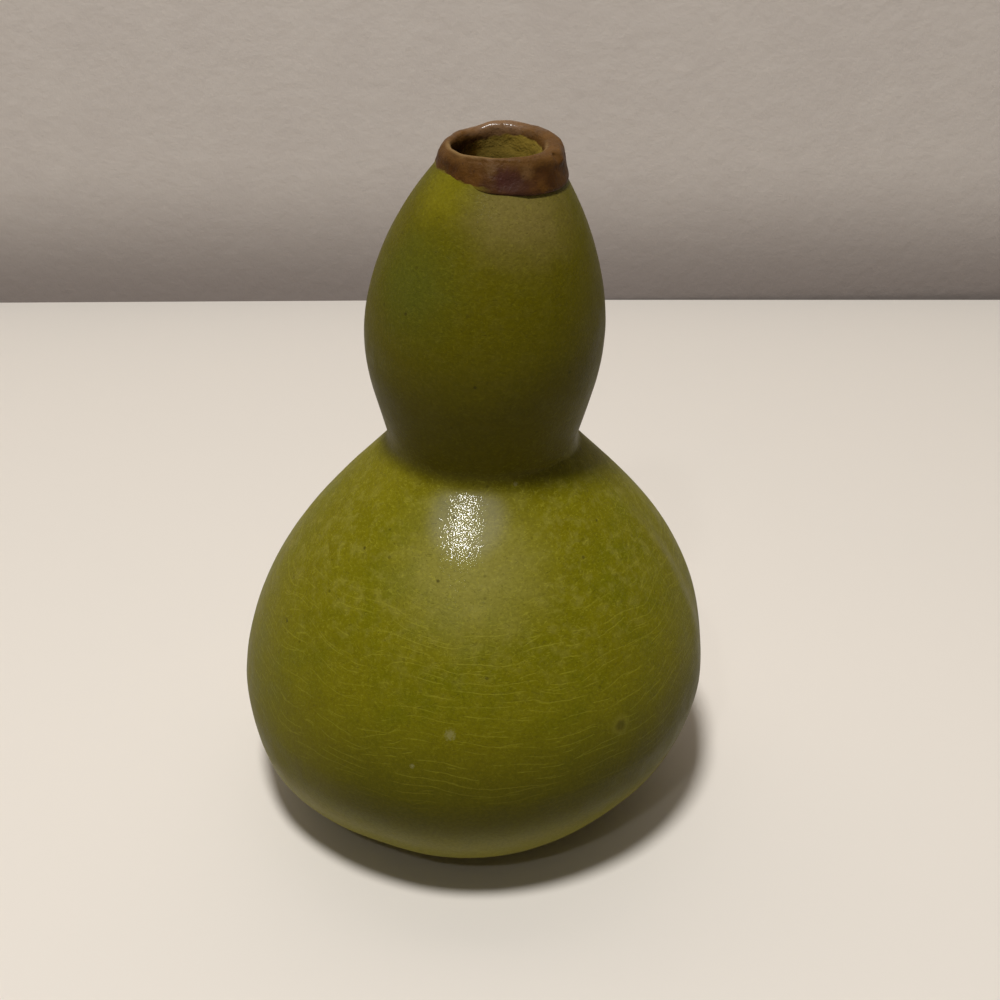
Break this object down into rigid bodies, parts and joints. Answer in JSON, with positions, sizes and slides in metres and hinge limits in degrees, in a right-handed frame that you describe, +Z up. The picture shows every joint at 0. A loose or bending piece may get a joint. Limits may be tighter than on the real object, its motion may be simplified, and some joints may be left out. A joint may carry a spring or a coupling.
{
  "type": "gourd vase",
  "caption": "Hand-formed two-chamber gourd vase in green crackle-glazed stoneware, with a slender waist, a brown clay lip round the narrow mouth and a turned foot ring to stand on.",
  "frame": {"origin": "on the table, under the middle of the belly", "axes": "+Z up, +X to the right as pictured, so the gourd leans towards +X, and -Y towards the viewer"},
  "size_m": [0.0967, 0.0968, 0.1409],
  "materials": {
    "green_glaze": "satin olive green crackle glaze",
    "brown_lip": "satin brown slip, stained and finger marked",
    "bare_clay": "matt unglazed stoneware"
  },
  "bodies": {
    "root": {"foot_ring": "bare_clay", "lower_bowl": "green_glaze", "belly_coil": "green_glaze", "shoulder": "green_glaze", "waist_coil": "green_glaze", "upper_bulb": "green_glaze", "lip_ring": "brown_lip"}
  },
  "joints": []
}
